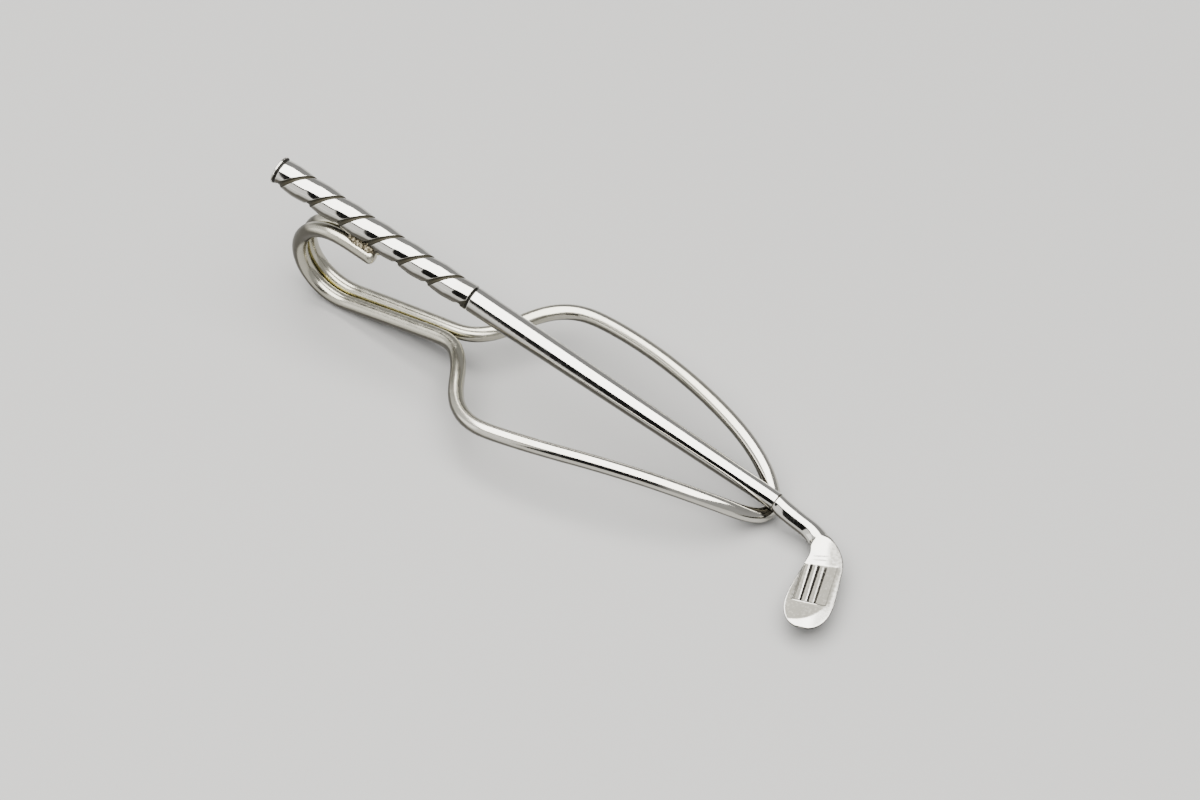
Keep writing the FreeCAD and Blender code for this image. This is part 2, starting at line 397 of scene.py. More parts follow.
@dataclass
class Surface:
    """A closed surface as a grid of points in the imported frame, with what closes its ends.

    The columns go round and wrap. The rows wrap as well, or end in a pole at each end.
    """

    points: np.ndarray
    rows_wrap: bool = False
    marks: dict[Mark, np.ndarray] = field(default_factory=dict)
    # Faces turned away from this way get painted shade in their finish.
    unshaded_way: Way = (0.0, 0.0, 1.0)
    shade_facing: Range = (0.38, 0.06)

    def faces(self) -> tuple[np.ndarray, np.ndarray]:
        """Corner numbers of the quads and of the pole triangles.

        Returns:
            Quads as rows of four and triangles as rows of three.
        """
        rows, columns = self.points.shape[:2]
        number = np.arange(rows * columns).reshape(rows, columns)
        ahead = np.roll(number, -1, axis=1)
        below, below_ahead = np.roll(number, -1, axis=0), np.roll(ahead, -1, axis=0)
        last = rows if self.rows_wrap else rows - 1
        quads = np.stack([number, ahead, below_ahead, below], axis=-1)[:last].reshape(-1, 4)
        if self.rows_wrap:
            return quads, np.zeros((0, 3), int)
        start = np.full(columns, rows * columns)
        first_fan = np.stack([start, ahead[0], number[0]], axis=-1)
        last_fan = np.stack([start + 1, number[-1], ahead[-1]], axis=-1)
        return quads, np.concatenate([first_fan, last_fan])

    def vertices(self) -> np.ndarray:
        """All corners: the grid's, then the two poles, each in the middle of its end row.

        Returns:
            Corner points, one row each.
        """
        grid = self.points.reshape(-1, 3)
        if self.rows_wrap:
            return grid
        return np.concatenate([grid, [self.points[0].mean(axis=0)], [self.points[-1].mean(axis=0)]])

    def mesh(self, name: str) -> bpy.types.Mesh:
        """A mesh with outward faces, smooth shading and the grid's marks.

        Args:
            name: The mesh's name.

        Returns:
            The mesh.
        """
        corners = self.vertices()
        quads, fans = self.faces()
        triangles = np.concatenate([quads[:, :3], quads[:, [0, 2, 3]], fans])
        a, b, c = np.moveaxis(corners[triangles] - corners.mean(axis=0), 1, 0)
        if np.einsum("ij,ij->", a, np.cross(b, c)) < 0:
            quads, fans = quads[:, ::-1], fans[:, ::-1]
        loops = np.concatenate([quads.ravel(), fans.ravel()])
        sides = np.concatenate([np.full(len(quads), 4), np.full(len(fans), 3)])
        starts = np.cumsum(sides) - sides
        mesh = bpy.data.meshes.new(name)
        mesh.vertices.add(len(corners))
        mesh.vertices.foreach_set("co", corners.astype(np.float32).ravel())
        mesh.loops.add(len(loops))
        mesh.loops.foreach_set("vertex_index", loops.astype(np.int32))
        mesh.polygons.add(len(sides))
        mesh.polygons.foreach_set("loop_start", starts.astype(np.int32))
        for mark, values in self.marks.items():
            poles = [] if self.rows_wrap else [values[0, 0], values[-1, 0]]
            self.put_mark(mesh, mark, np.r_[values.ravel(), poles])
        mesh.update(calc_edges=True)
        mesh.validate()
        mesh.shade_smooth()
        self.mark_underside(mesh)
        return mesh

    @staticmethod
    def put_mark(mesh: bpy.types.Mesh, mark: Mark, values: np.ndarray) -> None:
        """Write one value per corner into a mesh."""
        layer = mesh.attributes.new(mark.value, "FLOAT", "POINT")
        layer.data.foreach_set("value", values.astype(np.float32))

    def mark_underside(self, mesh: bpy.types.Mesh) -> None:
        """Mark how far each corner faces away from the unshaded way, where the finish paints shade.

        Args:
            mesh: The mesh, with its faces and normals.
        """
        normals = np.empty(3 * len(mesh.vertices), np.float32)
        mesh.vertex_normals.foreach_get("vector", normals)
        facing = normals.reshape(-1, 3) @ np.array(self.unshaded_way)
        self.put_mark(mesh, Mark.UNDER, smoothstep(*self.shade_facing, facing))


class Signal:
    """A value in a shader tree, with operators that add Math nodes."""

    def __init__(self, tree: "ShaderTree", socket: bpy.types.NodeSocket) -> None:
        """Keep the tree and the output socket."""
        self.tree = tree
        self.socket = socket

    def math(self, operation: str, first: object, second: object) -> "Signal":
        """A Math node on two values."""
        return self.tree.signal("ShaderNodeMath", {"operation": operation}, {0: first, 1: second})

    def __add__(self, other: object) -> "Signal":
        """This plus other."""
        return self.math("ADD", self, other)

    def __radd__(self, other: object) -> "Signal":
        """Other plus this."""
        return self.math("ADD", other, self)

    def __rsub__(self, other: object) -> "Signal":
        """Other less this."""
        return self.math("SUBTRACT", other, self)

    def __mul__(self, other: object) -> "Signal":
        """This times other."""
        return self.math("MULTIPLY", self, other)

    def __rmul__(self, other: object) -> "Signal":
        """Other times this."""
        return self.math("MULTIPLY", other, self)

    def step(self, low: float, high: float) -> "Signal":
        """0 up to low, 1 from high on, smooth between; low may be the larger one."""
        sockets = {"Value": self, "From Min": low, "From Max": high}
        return self.tree.signal("ShaderNodeMapRange", {"interpolation_type": "SMOOTHSTEP"}, sockets)


class ShaderTree:
    """A node tree that is written as expressions."""

    def __init__(self, tree: bpy.types.NodeTree) -> None:
        """Start from an emptied tree."""
        self.tree = tree
        tree.nodes.clear()

    def node(self, kind: str, settings: dict | None = None, sockets: dict | None = None) -> bpy.types.Node:
        """Add a node: its settings first, then the values or links of its sockets.

        Args:
            kind: The node's type.
            settings: Properties to set.
            sockets: Values, Signals or output sockets by input name or number.

        Returns:
            The node.
        """
        node = self.tree.nodes.new(kind)
        for name, value in (settings or {}).items():
            setattr(node, name, value)
        for name, value in (sockets or {}).items():
            if isinstance(value, Signal):
                value = value.socket
            if isinstance(value, bpy.types.NodeSocket):
                self.tree.links.new(value, node.inputs[name])
            else:
                node.inputs[name].default_value = value
        return node

    def signal(self, kind: str, settings: dict | None = None, sockets: dict | None = None,
               output: object = 0) -> Signal:
        """Add a node and give one of its outputs."""
        return Signal(self, self.node(kind, settings, sockets).outputs[output])

    def mark(self, mark: Mark) -> Signal:
        """A value that the mesh carries."""
        return self.signal("ShaderNodeAttribute", {"attribute_name": mark.value}, output="Fac")

    @cached_property
    def place(self) -> Signal:
        """Object coordinates in millimetres."""
        sockets = {0: self.node("ShaderNodeTexCoord").outputs["Object"], "Scale": 1 / MM}
        return self.signal("ShaderNodeVectorMath", {"operation": "SCALE"}, sockets, "Vector")

    def noise(self, scale: float, detail: float = 3.0) -> Signal:
        """Fractal noise, with scale in cycles per millimetre."""
        sockets = {"Vector": self.place, "Scale": scale, "Detail": detail}
        return self.signal("ShaderNodeTexNoise", None, sockets)

    def grained(self, mark: Mark, noise: Signal, grain: Range) -> Signal:
        """A mark broken up by noise: the mark times a least share plus a spread of the noise."""
        least, spread = grain
        return self.mark(mark) * (least + spread * noise)

    def tint(self, factor: Signal, first: object, second: object) -> Signal:
        """A mix of two colours."""
        sockets = {"Factor": factor, 6: first, 7: second}
        return self.signal("ShaderNodeMix", {"data_type": "RGBA"}, sockets, 2)

    def bump(self, height: Signal, depth: float) -> Signal:
        """A bumped normal whose full height is depth, in metres."""
        sockets = {"Height": height, "Distance": depth, "Strength": 1.0}
        return self.signal("ShaderNodeBump", None, sockets, "Normal")

    def principled(self, sockets: dict) -> None:
        """A Principled shader on the material's output."""
        shader = self.node("ShaderNodeBsdfPrincipled", None, sockets)
        self.node("ShaderNodeOutputMaterial", None, {"Surface": shader.outputs["BSDF"]})


@dataclass(frozen=True)
class SilverFinish:
    """Polished silver with smudges, fine scratches, oxide in the grooves and painted shade on the
    underside.

    Scales are in cycles per millimetre and depths in metres. A range is a smooth step's start and end,
    and a grain is the least share of a mark and the spread that noise adds to it.
    """

    name: str = "polished silver"
    bright: Colour = (0.56, 0.55, 0.52, 1)
    warm: Colour = (0.48, 0.46, 0.40, 1)
    warm_scale: float = 0.35
    warm_range: Range = (0.5, 0.75)
    warm_share: float = 0.5
    # Painted shade: a dark tone laid on faces that turn away from the light.
    painted_shade: Colour = (0.075, 0.07, 0.058, 1)
    painted_shade_scale: float = 1.6
    painted_shade_grain: Range = (0.7, 0.5)
    painted_shade_range: Range = (0.05, 0.95)
    underside_roughness: float = 0.1
    oxide_wall: Colour = (0.026, 0.0235, 0.015, 1)
    # The dark oxide tone is real oxide in hollows, and painted shade on the grip groove's walls.
    dark_oxide_and_shade: Colour = (0.007, 0.0065, 0.005, 1)
    oxide_wall_range: Range = (0.2, 0.5)
    dark_oxide_and_shade_range: Range = (0.55, 0.95)
    oxide_shine: float = 0.12
    oxide_metal_loss: float = 0.9
    oxide_metal_range: Range = (0.2, 0.6)
    oxide_roughness: float = 0.4
    oxide_roughness_range: Range = (0.2, 0.8)
    gloss_roughness: float = 0.07
    smudge_scale: float = 0.9
    smudge_range: Range = (0.45, 0.7)
    smudge_roughness: float = 0.06
    scratch_scale: float = 5.5
    scratch_height: float = 1.3
    scratch_reach: Range = (39.0, 35.0)
    wave_scale: float = 1.3
    wave_height: float = 0.5
    wave_detail: float = 2.0
    bump_depth: float = 0.0000012

    def material(self) -> bpy.types.Material:
        """The finish as a node material.

        Returns:
            The material.
        """
        material = bpy.data.materials.new(self.name)
        material.use_nodes = True
        tree = ShaderTree(material.node_tree)
        tree.principled({
            "Base Color": self.colour(tree),
            "Metallic": self.metal(tree),
            "Roughness": self.roughness(tree),
            "Normal": self.normal(tree),
            "Specular IOR Level": self.oxide_shine,
        })
        return material

    def skin(self, tree: ShaderTree) -> Signal:
        """Bright silver that warms in soft patches."""
        patches = tree.noise(self.warm_scale).step(*self.warm_range)
        return tree.tint(patches * self.warm_share, self.bright, self.warm)

    def colour(self, tree: ShaderTree) -> Signal:
        """The skin, with painted shade underneath and oxide in the grooves.

        Args:
            tree: The material's tree.

        Returns:
            The colour.
        """
        # Painted shade: the skin darkens where the mesh faces away from its unshaded way.
        under = tree.grained(Mark.UNDER, tree.noise(self.painted_shade_scale), self.painted_shade_grain)
        silver = tree.tint(under.step(*self.painted_shade_range), self.skin(tree), self.painted_shade)
        oxide = tree.mark(Mark.OXIDE)
        # Past the wall range the oxide turns dark: real in hollows, painted shade on the grip groove's
        # walls.
        wall = tree.tint(oxide.step(*self.oxide_wall_range), silver, self.oxide_wall)
        return tree.tint(oxide.step(*self.dark_oxide_and_shade_range), wall, self.dark_oxide_and_shade)

    def metal(self, tree: ShaderTree) -> Signal:
        """Metal, but for the oxide in the grooves."""
        return 1 - self.oxide_metal_loss * tree.mark(Mark.OXIDE).step(*self.oxide_metal_range)

    def roughness(self, tree: ShaderTree) -> Signal:
        """A polish with faint smudges, duller underneath and in the grooves.

        Args:
            tree: The material's tree.

        Returns:
            The roughness.
        """
        smudge = self.smudge_roughness * tree.noise(self.smudge_scale).step(*self.smudge_range)
        oxide = self.oxide_roughness * tree.mark(Mark.OXIDE).step(*self.oxide_roughness_range)
        return self.gloss_roughness + smudge + (self.underside_roughness * tree.mark(Mark.UNDER) + oxide)

    def normal(self, tree: ShaderTree) -> Signal:
        """Fine scratches on the shaft's rear half over soft polishing waves.

        Args:
            tree: The material's tree.

        Returns:
            The bumped normal.
        """
        rear = tree.mark(Mark.ALONG).step(*self.scratch_reach)
        scratches = tree.noise(self.scratch_scale, self.wave_detail) * rear
        waves = tree.noise(self.wave_scale, self.wave_detail)
        return tree.bump(scratches * self.scratch_height + waves * self.wave_height, self.bump_depth)


@dataclass(frozen=True)
class GripFinish(SilverFinish):
    """Polished lands, free of scratches, beside oxidised grooves whose walls also carry painted shade."""

    name: str = "grip silver"
    wave_scale: float = 0.9

    def normal(self, tree: ShaderTree) -> Signal:
        """Soft waves from hand polishing."""
        return tree.bump(tree.noise(self.wave_scale, self.wave_detail), self.bump_depth)


@dataclass(frozen=True)
class WireFinish(SilverFinish):
    """Drawn wire: softer polish, warmer, with olive tarnish and a painted reflection of each wire in the
    other where the two wires face each other.
    """

    name: str = "wire silver"
    bright: Colour = (0.52, 0.505, 0.46, 1)
    warm: Colour = (0.44, 0.42, 0.355, 1)
    drawn: Colour = (0.42, 0.405, 0.34, 1)
    # Tarnish colour, partly a painted reflection of one wire in the other where the pair face each other.
    tarnish_and_reflection: Colour = (0.46, 0.43, 0.26, 1)
    tarnish_and_reflection_scale: float = 2.2
    tarnish_and_reflection_grain: Range = (0.55, 0.9)
    tarnish_and_reflection_range: Range = (0.35, 0.95)
    gloss_roughness: float = 0.10
    drawn_roughness: float = 0.12
    dent_scale: float = 0.7
    dent_detail: float = 0.0
    dent_height: float = 2.5
    bump_depth: float = 0.0000016

    def skin(self, tree: ShaderTree) -> Signal:
        """Warm silver, greyer where it is only drawn, with tarnish and a painted reflection in the crease
        of the pair.

        Args:
            tree: The material's tree.

        Returns:
            The colour of the bare wire.
        """
        # Tarnish and painted reflection in the crease where the two wires face each other.
        crease = tree.grained(Mark.PAIRED, tree.noise(self.tarnish_and_reflection_scale), self.tarnish_and_reflection_grain)
        silver = tree.tint(tree.mark(Mark.SATIN), super().skin(tree), self.drawn)
        return tree.tint(crease.step(*self.tarnish_and_reflection_range), silver, self.tarnish_and_reflection)

    def roughness(self, tree: ShaderTree) -> Signal:
        """A polish on the loop that turns dull on the arms and bends."""
        return super().roughness(tree) + self.drawn_roughness * tree.mark(Mark.SATIN)

    def normal(self, tree: ShaderTree) -> Signal:
        """Shallow dents from bending by hand."""
        dents = tree.noise(self.dent_scale, self.dent_detail)
        return tree.bump(dents * self.dent_height, self.bump_depth)


@dataclass(frozen=True)
class HeadFinish(SilverFinish):
    """Cast head: polished neck and rim, satin face and blackened score lines."""

    name: str = "head silver"
    satin: Colour = (0.172, 0.166, 0.145, 1)
    satin_grain: Range = (0.72, 0.46)
    satin_range: Range = (0.1, 0.95)
    satin_roughness: float = 0.45
    speckle_scale: float = 5.0
    speckle_range: Range = (0.3, 0.7)
    score_dark: Colour = (0.012, 0.011, 0.010, 1)
    score_scale: float = 5.0
    score_grain: Range = (0.65, 0.7)
    score_range: Range = (0.25, 0.8)
    grain_scale: float = 7.0
    grain_detail: float = 4.0
    grain_height: float = 8.0
    wave_scale: float = 1.1
    wave_height: float = 1.6

    def colour(self, tree: ShaderTree) -> Signal:
        """Bright polish, greyer satin, black score lines.

        Args:
            tree: The material's tree.

        Returns:
            The colour.
        """
        speckle = tree.noise(self.speckle_scale, self.grain_detail).step(*self.speckle_range)
        satin = tree.grained(Mark.SATIN, speckle, self.satin_grain)
        face = tree.tint(satin.step(*self.satin_range), super().colour(tree), self.satin)
        score = tree.grained(Mark.SCORE, tree.noise(self.score_scale), self.score_grain)
        return tree.tint(score.step(*self.score_range), face, self.score_dark)

    def roughness(self, tree: ShaderTree) -> Signal:
        """Polish that turns to satin on the face."""
        return super().roughness(tree) + self.satin_roughness * tree.mark(Mark.SATIN)

    def normal(self, tree: ShaderTree) -> Signal:
        """A cast grain on the satin and soft polishing waves elsewhere.

        Args:
            tree: The material's tree.

        Returns:
            The bumped normal.
        """
        grain = tree.noise(self.grain_scale, self.grain_detail) * tree.mark(Mark.SATIN)
        waves = tree.noise(self.wave_scale, self.wave_detail)
        return tree.bump(grain * self.grain_height + waves * self.wave_height, self.bump_depth)


@dataclass(frozen=True)
class SolderFinish(SilverFinish):
    """Solder left rough: grainy grey-brown with bright specks."""

    name: str = "solder silver"
    bright: Colour = (0.13, 0.115, 0.082, 1)
    warm: Colour = (0.03, 0.025, 0.016, 1)
    warm_scale: float = 4.5
    warm_range: Range = (0.4, 0.62)
    gloss_roughness: float = 0.3
    smudge_roughness: float = 0.2
    pit_detail: float = 4.0
    grain_scale: float = 5.0
    grain_detail: float = 5.0
    bump_depth: float = 0.00006

    def colour(self, tree: ShaderTree) -> Signal:
        """Brown in the pits and grey on the grains."""
        pits = tree.noise(self.warm_scale, self.pit_detail).step(*self.warm_range)
        return tree.tint(pits, self.bright, self.warm)

    def normal(self, tree: ShaderTree) -> Signal:
        """Grains of a fifth of a millimetre."""
        return tree.bump(tree.noise(self.grain_scale, self.grain_detail), self.bump_depth)


class Workshop:
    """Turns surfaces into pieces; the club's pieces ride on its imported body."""

    def __init__(self, club: ClubFrame) -> None:
        """Keep the club's frame and the materials made so far."""
        self.club = club
        self.materials: dict[str, bpy.types.Material] = {}

    def piece(self, name: str, surface: Surface, finish: SilverFinish, slot: Slot,
              stands_for: tuple[str, ...]) -> bpy.types.Object:
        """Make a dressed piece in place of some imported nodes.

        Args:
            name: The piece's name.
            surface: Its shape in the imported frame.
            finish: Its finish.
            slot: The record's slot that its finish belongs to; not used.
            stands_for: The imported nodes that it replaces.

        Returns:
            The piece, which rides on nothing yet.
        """
        mesh = surface.mesh(name)
        if finish.name not in self.materials:
            self.materials[finish.name] = finish.material()
        mesh.materials.append(self.materials[finish.name])
        piece = linked(name, mesh)
        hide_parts(*stands_for)
        mesh.calc_loop_triangles()
        log.info("%s: %d triangles", name, len(mesh.loop_triangles))
        return piece

    def club_piece(self, name: str, surface: Surface, finish: SilverFinish, slot: Slot, node: str) -> None:
        """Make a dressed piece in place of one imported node, and let it move with the club."""
        piece = self.piece(name, surface, finish, slot, (node,))
        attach(piece, Body.CLUB.value)


@dataclass
class TurnedParts:
    """Butt cap and shaft, both turned about the club's axis."""

    sizes: ClipSizes
    cap_round: float = 0.12
    cap_dome: float = 0.04
    edge_ease: float = 0.05
    oxide_depths: Range = (0.01, 0.05)
    # Faces turned away from this way get painted shade.
    unshaded_way: Way = (-0.5, 0.0, 1.0)
    columns: int = 128

    def lathe(self, corners: list[tuple[float, float]], eases: list[float], club: ClubFrame) -> Surface:
        """A turned surface from an outline with eased corners, oxidised where it lies under the skin.

        Args:
            corners: Outline points (x, radius) from the axis to the axis.
            eases: Rounding reach of each inner corner.
            club: The club's frame.

        Returns:
            The surface, with its length and its oxide marked.
        """
        s = self.sizes
        outline = eased_outline(np.array(corners), np.array(eases))[1:-1]
        x, radius = outline[:, :1], outline[:, 1:]
        grid = turned(x, radius, round_angles(self.columns))
        skin = np.interp(x, [s.cap_length, s.grip_end, s.shaft_end],
                         [s.grip_radius, s.shaft_rear_radius, s.shaft_front_radius])
        behind_face = x > self.cap_dome + self.cap_round
        oxide = smoothstep(*self.oxide_depths, skin - radius) * behind_face
        marks = {Mark.ALONG: grid[..., 0], Mark.OXIDE: oxide + 0 * grid[..., 0]}
        return Surface(club.place(grid), marks=marks, unshaded_way=self.unshaded_way)

    def butt_cap(self, club: ClubFrame) -> Surface:
        """Domed disc with a rounded rim, a ring groove behind it and a spigot.

        Args:
            club: The club's frame.

        Returns:
            The surface.
        """
        s = self.sizes
        groove_start = s.cap_length - s.ring_groove_width
        groove_radius = s.grip_radius - s.ring_groove_depth
        spigot_end = s.cap_length + s.cap_spigot_length
        middle = s.grip_radius / 2
        corners = [
            (0, 0), (self.cap_dome / 4, middle), (self.cap_dome, s.grip_radius),
            (groove_start, s.grip_radius), (groove_start, groove_radius), (s.cap_length, groove_radius),
            (s.cap_length, s.tang_radius), (spigot_end, s.tang_radius), (spigot_end, 0),
        ]
        eases = [middle / 2, self.cap_round] + [self.edge_ease] * (len(corners) - 4)
        return self.lathe(corners, eases, club)

    def shaft(self, club: ClubFrame) -> Surface:
        """Tapered rod with a ring groove at the grip, a tang behind it and a tenon in front.

        Args:
            club: The club's frame.

        Returns:
            The surface.
        """
        s = self.sizes
        tang_start = s.cap_length + s.cap_spigot_length
        groove_end = s.grip_end + s.ring_groove_width
        groove_radius = s.shaft_rear_radius - s.ring_groove_depth
        tenon_end = s.shaft_end + s.tenon_length
        corners = [
            (tang_start, 0), (tang_start, s.tang_radius), (s.grip_end, s.tang_radius),
            (s.grip_end, groove_radius), (groove_end, groove_radius), (groove_end, s.shaft_rear_radius),
            (s.shaft_end, s.shaft_front_radius), (s.shaft_end, s.tenon_radius),
            (tenon_end, s.tenon_radius), (tenon_end, 0),
        ]
        return self.lathe(corners, [self.edge_ease] * (len(corners) - 2), club)

    def dress(self, shop: Workshop) -> None:
        """Make both pieces.

        Args:
            shop: The workshop.
        """
        finish = SilverFinish()
        for node, surface in (("butt_cap", self.butt_cap), ("shaft", self.shaft)):
            shop.club_piece(f"{node}_polished", surface(shop.club), finish, Slot.POLISHED, node)


@dataclass
class GripSleeve:
    """Grip with one left-handed spiral groove between crowned lands.

    The sleeve swells and the groove widens about lower_angle, which is on the lower near flank.
    """

    sizes: ClipSizes
    rear_radius: float = 1.2
    front_radius: float = 1.15
    groove_pitch: float = 2.945
    groove_phase: float = 1.93
    facing_angle: float = 123.0
    groove_slant: float = 0.52
    drift_start: float = 17.0
    end_drift: float = 0.3
    groove_width: float = 0.42
    groove_flare: float = 0.8
    groove_depth: float = 0.15
    groove_wall: float = 0.75
    land_drop: float = 0.09
    crown_power: float = 1.5
    swell: float = 0.06
    lower_angle: float = 220.0
    end_round: float = 0.07
    sliver_range: Range = (0.9, 0.45)
    sliver_oxide: float = 0.75
    # The walls' rise in oxide over the floor is painted shade.
    floor_oxide: float = 0.62
    oxide_range: Range = (1.1, 0.7)
    shaded_wall_range: Range = (0.45, 0.85)
    rows: int = 520
    columns: int = 150

    def since_groove(self, x: np.ndarray, angle: np.ndarray) -> np.ndarray:
        """Distance along the grip since the last groove's middle.

        The groove's middle advances by one pitch per left-handed turn, plus a sine that slants it,
        and its last turn drifts towards the shaft.

        Args:
            x: Place along the club.
            angle: Angle round the club, from the far side upwards.

        Returns:
            Distance in millimetres, from 0 to a pitch.
        """
        turn = math.radians(self.facing_angle) - angle
        middle = self.groove_phase + self.groove_pitch * turn / TAU + self.groove_slant * np.sin(turn)
        drift = self.end_drift * smoothstep(self.drift_start, self.sizes.grip_end, x)
        return (x - drift - middle) % self.groove_pitch

    def radius(self, x: np.ndarray, away: np.ndarray, half_groove: np.ndarray,
               sliver: np.ndarray) -> np.ndarray:
        """Radius of the sleeve: a slight taper, less the land's crown, the groove and the rounded ends.

        Args:
            x: Place along the club.
            away: Distance from the nearest groove's middle.
            half_groove: Half the groove's width at each angle.
            sliver: Share of the land that is cut away ahead of the shaft.

        Returns:
            The radius at each point.
        """
        s = self.sizes
        taper = between(self.rear_radius, self.front_radius, (x - s.cap_length) / s.grip_length)
        half_land = self.groove_pitch / 2 - half_groove
        off_land = 1 - np.clip((away - half_groove) / half_land, 0, 1)
        crown = self.land_drop * off_land ** self.crown_power
        in_groove = 1 - np.clip(away / half_groove, 0, 1)
        dip = self.groove_depth * np.maximum(smoothstep(0, self.groove_wall, in_groove), sliver)
        end = quarter_round(np.minimum(x - s.cap_length, s.grip_end - x), self.end_round)
        return taper - np.maximum(crown, self.land_drop * sliver) - dip - end

    def surface(self, club: ClubFrame) -> Surface:
        """The outside, both ends and the bore as one wrapped grid.

        Args:
            club: The club's frame.

        Returns:
            The surface, with the groove's oxide marked: full at its walls, less on its floor; the walls'
            extra darkness is painted shade.
        """
        s = self.sizes
        x = np.linspace(s.cap_length, s.grip_end, self.rows)[:, None]
        angle = round_angles(self.columns)[None, :]
        since = self.since_groove(x, angle)
        away = np.minimum(since, self.groove_pitch - since)
        sliver = smoothstep(*self.sliver_range, s.grip_end - x + since)
        lower = (1 + np.cos(angle - math.radians(self.lower_angle))) / 2
        half_groove = self.groove_width / 2 * (1 + self.groove_flare * lower ** 2)
        radius = self.radius(x, away, half_groove, sliver) + self.swell * lower
        bore_ends = np.array([[s.grip_end], [s.cap_length]])
        bore_radius = np.full((2, 1), s.tang_radius + s.fit_clearance)
        grid = np.concatenate([turned(x, radius, angle), turned(bore_ends, bore_radius, angle)])
        share = away / half_groove
        # Painted shade: the oxide share rises to full at the groove's walls, so they come out darker than
        # its floor.
        strength = between(self.floor_oxide, 1, smoothstep(*self.shaded_wall_range, share))
        oxide = np.maximum(smoothstep(*self.oxide_range, share) * strength, self.sliver_oxide * sliver)
        bare = np.zeros((2, self.columns))
        return Surface(club.place(grid), rows_wrap=True, marks={Mark.OXIDE: np.concatenate([oxide, bare])})

    def dress(self, shop: Workshop) -> None:
        """Make the sleeve."""
        surface = self.surface(shop.club)
        shop.club_piece("grip_sleeve_grooved", surface, GripFinish(), Slot.GRIP, "grip_sleeve")


@dataclass
class SpringWire:
    """One round wire: near leg, U-bend, arm, paddle loop, arm, U-bend and far leg."""

    sizes: ClipSizes
    arm_corner_reach: float = 16.5
    arm_corner_drop: float = 6.2
    near_neck_reach: float = 20.1
    near_shoulder_shift: float = 0.45
    far_arm_sag: float = 0.22
    far_neck_reach: float = 20.95
    neck_drop: float = 4.84
    loop_start: float = 21.1
    near_tip_half_width: float = 0.85
    far_tip_half_width: float = 1.14
    near_tip_draw: float = 0.2
    tip_clearance: float = 0.16
    near_leg_lift: float = 0.3
    loop_half_width: float = 7.61
    loop_crest: float = 0.34
    loop_station_shares: Row = (0.087, 0.326, 0.607, 0.859)
    loop_width_shares: Row = (1.0, 0.946, 0.704, 0.43)
    loop_rise_shares: Row = (0.145, 0.558, 0.944, 1.0)
    loop_skew_share: float = 0.07
    cut_round: float = 0.5
    relax: float = 0.8
    relax_reach: float = 3.0
    spacing: float = 0.05
    leg_points: int = 40
    bend_points: int = 160
    corner_points: int = 60
    cut_rings: int = 8
    rings_per_mm: float = 7.0
    columns: int = 40
    upright_lead: float = 2.0
    pair_end: float = 19.5
    pair_fade: float = 1.5
    crease_facing: Range = (0.5, 1.0)
    arm_dull_run: Range = (7.0, 1.0)
    far_dull: float = 0.6
    far_dull_sides: Range = (-1.0, 1.0)
    far_dull_run: Range = (4.0, 8.0)
    # Faces turned away from this way get painted shade.
    unshaded_way: Way = (0.8, 0.0, 1.0)
    blend_way: Way = (-0.5, 0.0, math.sqrt(0.75))
    blend_start: float = -12.0
    blend_end: float = -7.7

    def arm_slope(self) -> float:
        """Slope of the lower arm: the tangent from the U-bend's circle to the arm's corner.

        Returns:
            The slope in radians.
        """
        s = self.sizes
        run = self.arm_corner_reach - s.bend_reach
        rise = s.bend_drop - self.arm_corner_drop
        return math.atan2(rise, run) + math.asin(s.bend_radius / math.hypot(run, rise))

    def loop_corners(self, side: Side) -> np.ndarray:
        """Corner points of one side of the loop, from the U-bend's end to the tip.

        Args:
            side: Which half of the wire.

        Returns:
            The corner points in the club frame.
        """
        s = self.sizes
        slope = self.arm_slope()
        y = side.value * s.half_pair - s.pair_offset
        start = [s.bend_reach + s.bend_radius * math.sin(slope), y,
                 -s.bend_drop - s.bend_radius * math.cos(slope)]
        near = side is Side.NEAR
        sag = 0 if near else self.far_arm_sag
        arm = [self.arm_corner_reach, y, -self.arm_corner_drop - sag]
        neck = [self.near_neck_reach if near else self.far_neck_reach, y, -self.neck_drop - sag]
        length = s.shaft_end - self.loop_start
        wide = side.value * self.loop_half_width * np.array(self.loop_width_shares)
        x = self.loop_start + length * np.array(self.loop_station_shares) + self.loop_skew_share * wide
        z = (self.neck_drop + self.loop_crest) * np.array(self.loop_rise_shares) - self.neck_drop
        x[0] += self.near_shoulder_shift if near else 0
        paddle = np.stack([x, wide - s.pair_offset, z], axis=-1)
        tip_reach = s.shaft_end - (self.near_tip_draw if near else 0)
        tip_wide = side.value * (self.near_tip_half_width if near else self.far_tip_half_width)
        tip = [tip_reach + self.loop_skew_share * tip_wide, tip_wide - s.pair_offset,
               -(s.shaft_front_radius + self.tip_clearance + s.wire_radius)]
        return np.concatenate([[start, arm, neck], paddle, [tip]])

    def leg_and_bend(self, side: Side) -> np.ndarray:
        """One leg from its cut end and its U-bend round to the lower arm.

        Relaxing draws a bend in by relax squared over its diameter, so the bend is made that much wider.
        The near leg is lifted against the grip's round, and its bend grows taller to reach it.

        Args:
            side: Which half of the wire.

        Returns:
            Points in order in the club frame.
        """
        s = self.sizes
        round_bend = np.linspace(0, math.pi + self.arm_slope(), self.bend_points)
        angle = np.concatenate([np.zeros(self.leg_points), round_bend])
        straight = np.linspace(s.leg_length, 0, self.leg_points, endpoint=False)
        leg = np.concatenate([straight, np.zeros(self.bend_points)])
        radius = s.bend_radius + self.relax ** 2 / (2 * s.bend_radius) * smoothstep(0, 1, angle)
        lift = self.near_leg_lift if side is Side.NEAR else 0
        x = s.bend_reach + leg - radius * np.sin(angle)
        z = radius * np.cos(angle) - s.bend_drop + lift * (1 + np.cos(np.minimum(angle, math.pi))) / 2
        return np.stack([x, np.full_like(x, side.value * s.half_pair - s.pair_offset), z], axis=-1)

